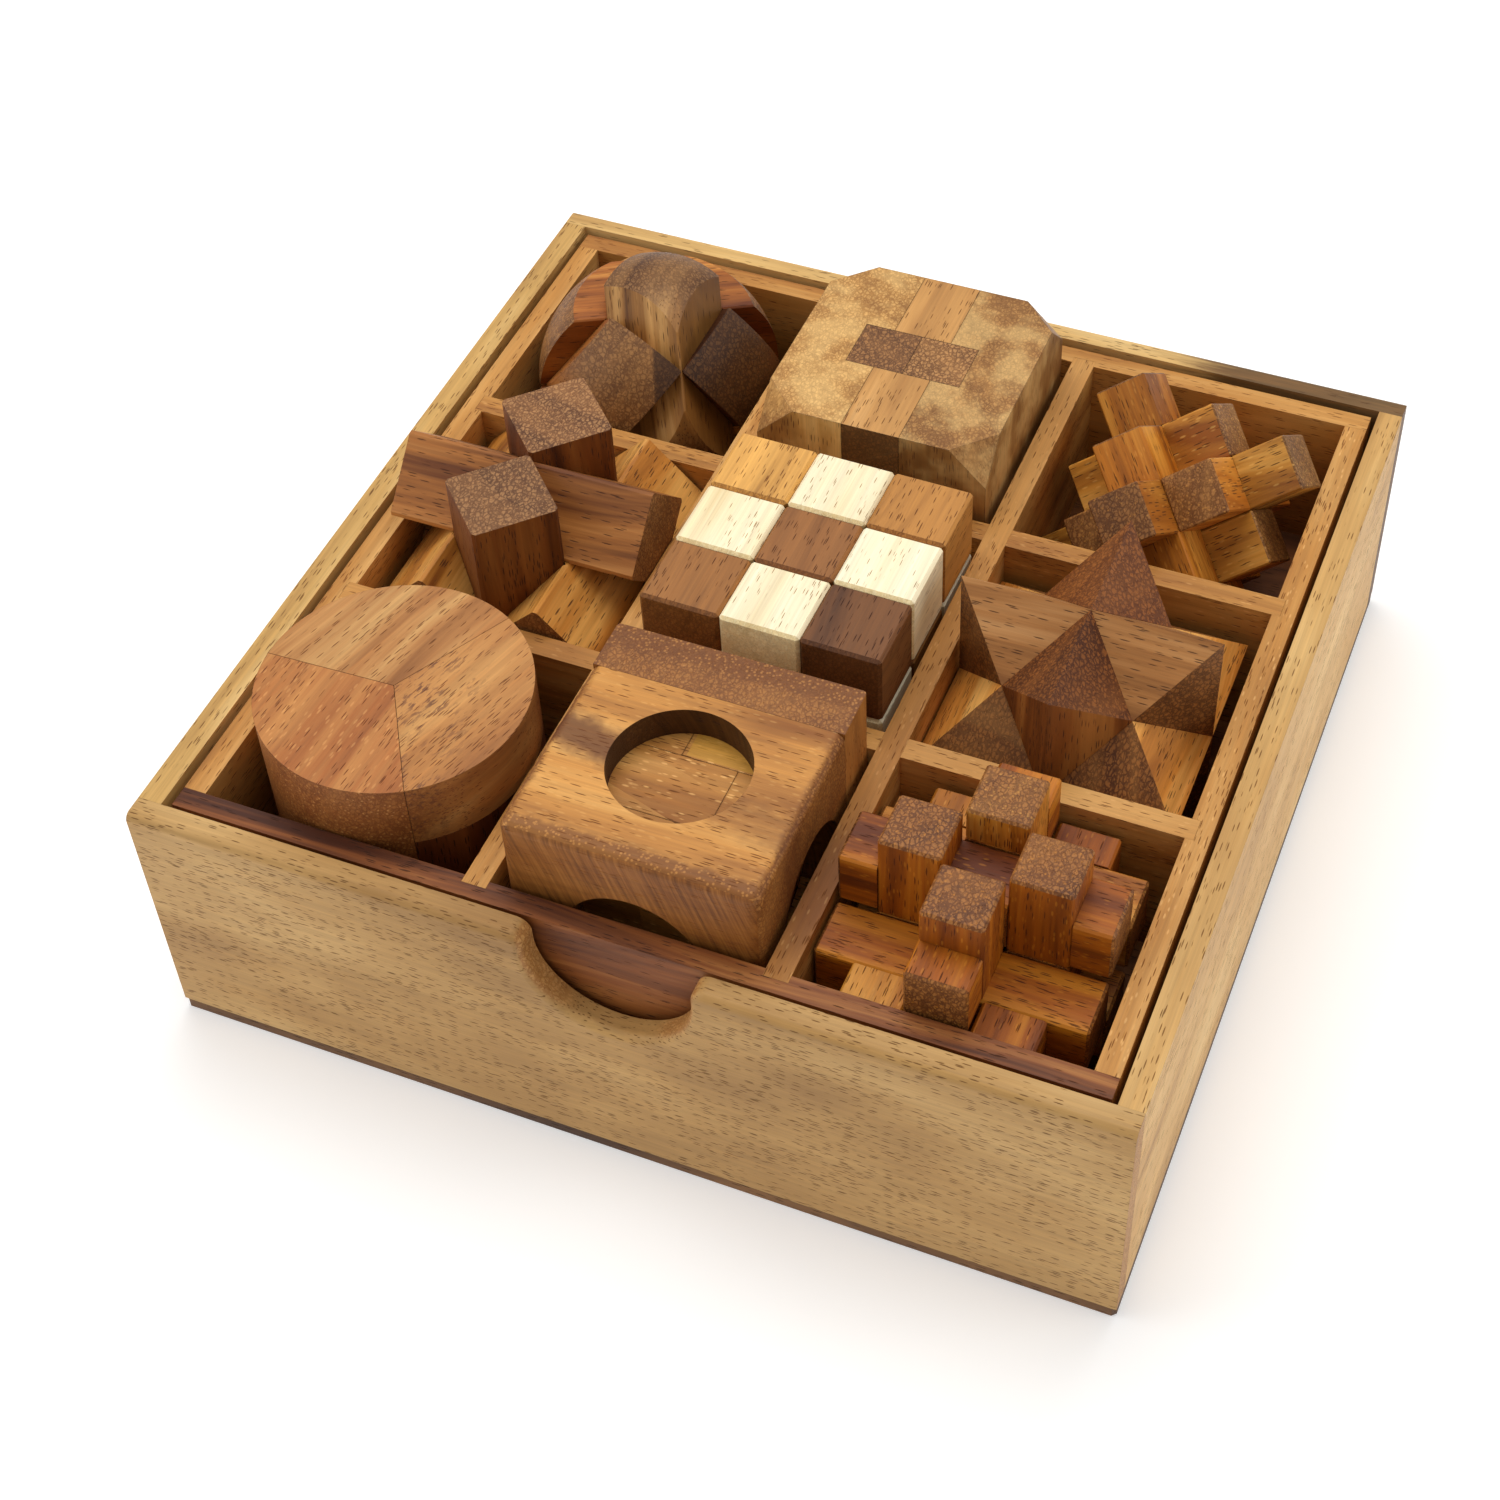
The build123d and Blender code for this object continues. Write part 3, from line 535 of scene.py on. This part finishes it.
def window_bands(t, colour, u, v, w):
    """Flecked end grain along the edges of the top, a dark streak that runs to the window, and painted shade
    inside the bores.
    """
    x, y, z = (t.dot(t.place, d) for d in (X, Y, Z))
    upward = t.num("ABSOLUTE", t.dot(t.normal, Z))
    wander = t.num("MULTIPLY_ADD", t.noise(t.place, 0.25, 3.0), 3.0, -1.5)

    edge_x = t.fade(t.num("ADD", t.num("ABSOLUTE", x), wander), 28.0, 30.5)
    edge_y = t.fade(t.num("ADD", t.times(y, -1.0), wander), 99.5, 101.5)
    back_y = t.fade(t.num("ADD", y, wander), -48.0, -45.5)
    rim = t.num("MAXIMUM", t.num("MAXIMUM", edge_x, edge_y), back_y)
    dots = t.cells(t.vec("SCALE", t.place, scale=1.05))[0]
    fleck = t.blend(t.times(t.fade(dots, 0.42, 0.2), 0.7), lin((124, 80, 48)), lin((196, 144, 92)))
    colour = t.blend(t.times(t.times(rim, t.step(upward, 0.7)), 0.75), colour, fleck)

    slope = t.num("MULTIPLY_ADD", z, 0.35, x)
    fibre = t.noise(t.xyz(t.times(slope, 0.9), t.times(y, 0.2), t.times(z, 0.04)), 1.0, 4.0, 0.6)
    board = t.ramp(fibre, [(0.3, lin((92, 54, 26))), (0.5, lin((142, 92, 50))), (0.72, lin((172, 120, 72)))])
    front = t.step(t.times(t.dot(t.normal, Y), -1.0), 0.7)
    colour = t.blend(t.times(front, 0.9), colour, board)

    off = t.num("ADD", t.num("MULTIPLY_ADD", wander, 2.2, y), t.num("MULTIPLY_ADD", x, 0.22, 80.0))
    off = t.num("ABSOLUTE", off)
    streak = t.times(t.fade(off, 8.0, 2.0), t.fade(x, 12.0, -16.0, 0.45, 0.85))
    colour = t.blend(streak, colour, lin((104, 62, 42)))

    # painted shade: the walls inside the window bores, above WINDOW_LOW, drawn near black
    from_axis = t.vec("LENGTH", t.xyz(x, t.num("ADD", y, WINDOW_Y), 0.0))
    bore_shade = t.times(t.num("LESS_THAN", from_axis, WINDOW_REACH), t.num("LESS_THAN", upward, 0.6))
    bore_shade = t.times(bore_shade, t.step(z, WINDOW_LOW))
    return t.blend(t.times(bore_shade, 0.8), colour, lin((44, 24, 14)))


window_end = [(108, 66, 40), (188, 136, 86)]
window_look = dict(special=window_bands, contrast=0.85, ring=7, pale=0.15, wave=9, seam=0.3)
timber("window_body", "window_body", X, [(148, 98, 54), (206, 152, 92), (230, 182, 122)], (104, 58, 26),
       window_end, **window_look)
timber("window_cover", "window_cover", Vector((0.18, 0, 1)),
       [(120, 76, 42), (176, 124, 74), (206, 158, 104)], (100, 60, 30), window_end, **window_look)


def blocks(t):
    """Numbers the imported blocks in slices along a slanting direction."""
    slice_no = t.num("ROUND", t.num("DIVIDE", t.dot(t.place, (0.3, 1, 0)), 13.0))
    return t.xyz(slice_no, 2.0, 3.0)


def golden_block(t, colour, u, v, w):
    """The block in the back right corner of the window is yellower."""
    there = t.times(t.step(t.dot(t.place, Y), -66.0), t.step(t.dot(t.place, X), -3.0))
    return t.blend(t.times(there, 0.7), colour, lin((214, 166, 84)))


timber("window_blocks", "window_blocks", X, [(158, 106, 58), (196, 142, 84), (222, 174, 116)],
       (110, 68, 36), cyl_end, pieces=blocks, special=golden_block, pale=0.8, seam=0.9, edge=0.5)

# ---------------------------------------------------------------- floor
underside = cad_box[0][2]
bpy.ops.mesh.primitive_plane_add(size=6.0, location=(0, 0, underside - 0.0002))
floor = bpy.context.object
floor.name = "floor"
paper = Tree("floor_paper")
tone = paper.noise(paper.place, 0.004, 3.0)
whites = paper.ramp(tone, [(0.3, (0.86, 0.86, 0.855, 1)), (0.7, (0.89, 0.888, 0.882, 1))])
paper.put(paper.bsdf.inputs["Base Color"], whites)
paper.bsdf.inputs["Roughness"].default_value = 0.75
paper.bsdf.inputs["Emission Color"].default_value = (1, 1, 1, 1)
paper.bsdf.inputs["Emission Strength"].default_value = 0.30
paper.bsdf.inputs["Specular IOR Level"].default_value = 0.2
floor.data.materials.append(paper.mat)

# ---------------------------------------------------------------- light
world = bpy.data.worlds.new("studio")
scene.world = world
world.use_nodes = True
world.node_tree.nodes["Background"].inputs["Color"].default_value = (1.0, 1.0, 1.0, 1)
world.node_tree.nodes["Background"].inputs["Strength"].default_value = 0.52


def lamp(name, place, aim, size, watts, colour=(1, 1, 1)):
    data = bpy.data.lights.new(name, "AREA")
    data.shape = "DISK"
    data.size = size
    data.energy = watts
    data.color = colour
    o = bpy.data.objects.new(name, data)
    scene.collection.objects.link(o)
    o.location = place
    o.rotation_euler = (Vector(aim) - Vector(place)).to_track_quat("-Z", "Y").to_euler()


lamp("overhead", (-0.10, 0.25, 0.95), (0, 0, 0.03), 0.8, 5.0, (1.0, 0.985, 0.96))
lamp("left_fill", (-0.9, -0.45, 0.6), (0, 0, 0.03), 0.8, 3.2)
lamp("right_fill", (1.05, 0.15, 0.45), (0, 0, 0.04), 0.7, 2.0)

# ---------------------------------------------------------------- camera
SENSOR, LENS = 36.0, 62.86752
SHIFT_X, SHIFT_Y = -0.0381733, -0.0573333
DISTANCE = 0.724067
TARGET = Vector((-0.018972, 0.041298, 0))

az, el, roll = radians(23.415), radians(46.894), radians(-2.116)
back = Vector((sin(az) * cos(el), -cos(az) * cos(el), sin(el)))
right = Vector((cos(az), sin(az), 0))
up = back.cross(right)
tilt = Matrix(((cos(roll), sin(roll), 0), (-sin(roll), cos(roll), 0), (0, 0, 1)))
rows = tilt @ Matrix((right, up, back))
camera_data = bpy.data.cameras.new("camera")
camera = bpy.data.objects.new("camera", camera_data)
scene.collection.objects.link(camera)
camera.matrix_world = Matrix.Translation(TARGET + back * DISTANCE) @ rows.transposed().to_4x4()
camera_data.sensor_width = SENSOR
camera_data.lens = LENS
camera_data.shift_x = SHIFT_X
camera_data.shift_y = SHIFT_Y
camera_data.clip_start = 0.01
scene.camera = camera
scene.view_settings.view_transform = "Standard"
